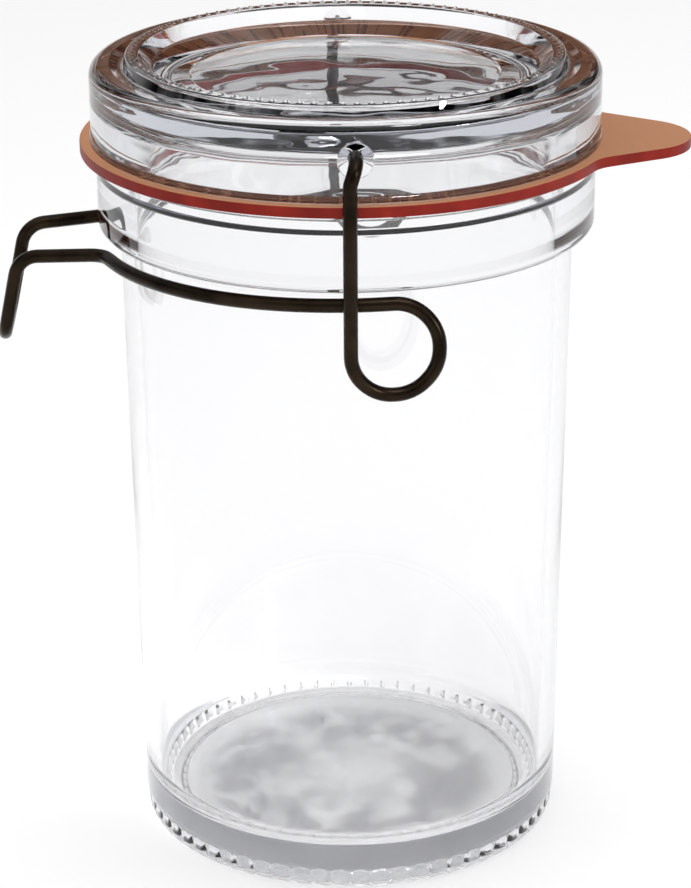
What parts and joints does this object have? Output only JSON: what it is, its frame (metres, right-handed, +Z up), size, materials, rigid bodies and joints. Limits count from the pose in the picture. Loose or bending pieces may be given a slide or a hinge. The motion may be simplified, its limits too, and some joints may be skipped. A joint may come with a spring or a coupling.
{
  "type": "clip-top jar",
  "caption": "Empty cylindrical glass storage jar with a pressed glass lid, a flat rubber gasket with a pull tab, and a bent wire clip that swings up off the lid.",
  "frame": {"origin": "on the jar's own axis, at the height of the surface that it stands on", "axes": "+Z up along the jar's axis; the clip's handle points to -X, the gasket's pull tab to +X, and the dimples that the clip hooks into lie on the Y axis's direction, at -Y and +Y"},
  "size_m": [0.1368, 0.1104, 0.162],
  "materials": {
    "jar_glass": "clear, polished",
    "lid_glass": "clear, polished",
    "gasket_rubber": "smooth, slightly matt",
    "clip_wire": "dark bronze coating, satin"
  },
  "bodies": {
    "jar_body": {"jar": "jar_glass", "lid": "lid_glass", "gasket": "gasket_rubber"},
    "clip_body": {"clip": "clip_wire"}
  },
  "joints": [
    {"name": "clip_swing", "type": "hinge", "parent": "jar_body", "child": "clip_body", "pos_m": [0, 0, 0.1531], "axis": [0, 1, 0], "range_deg": [0, 208]}
  ]
}
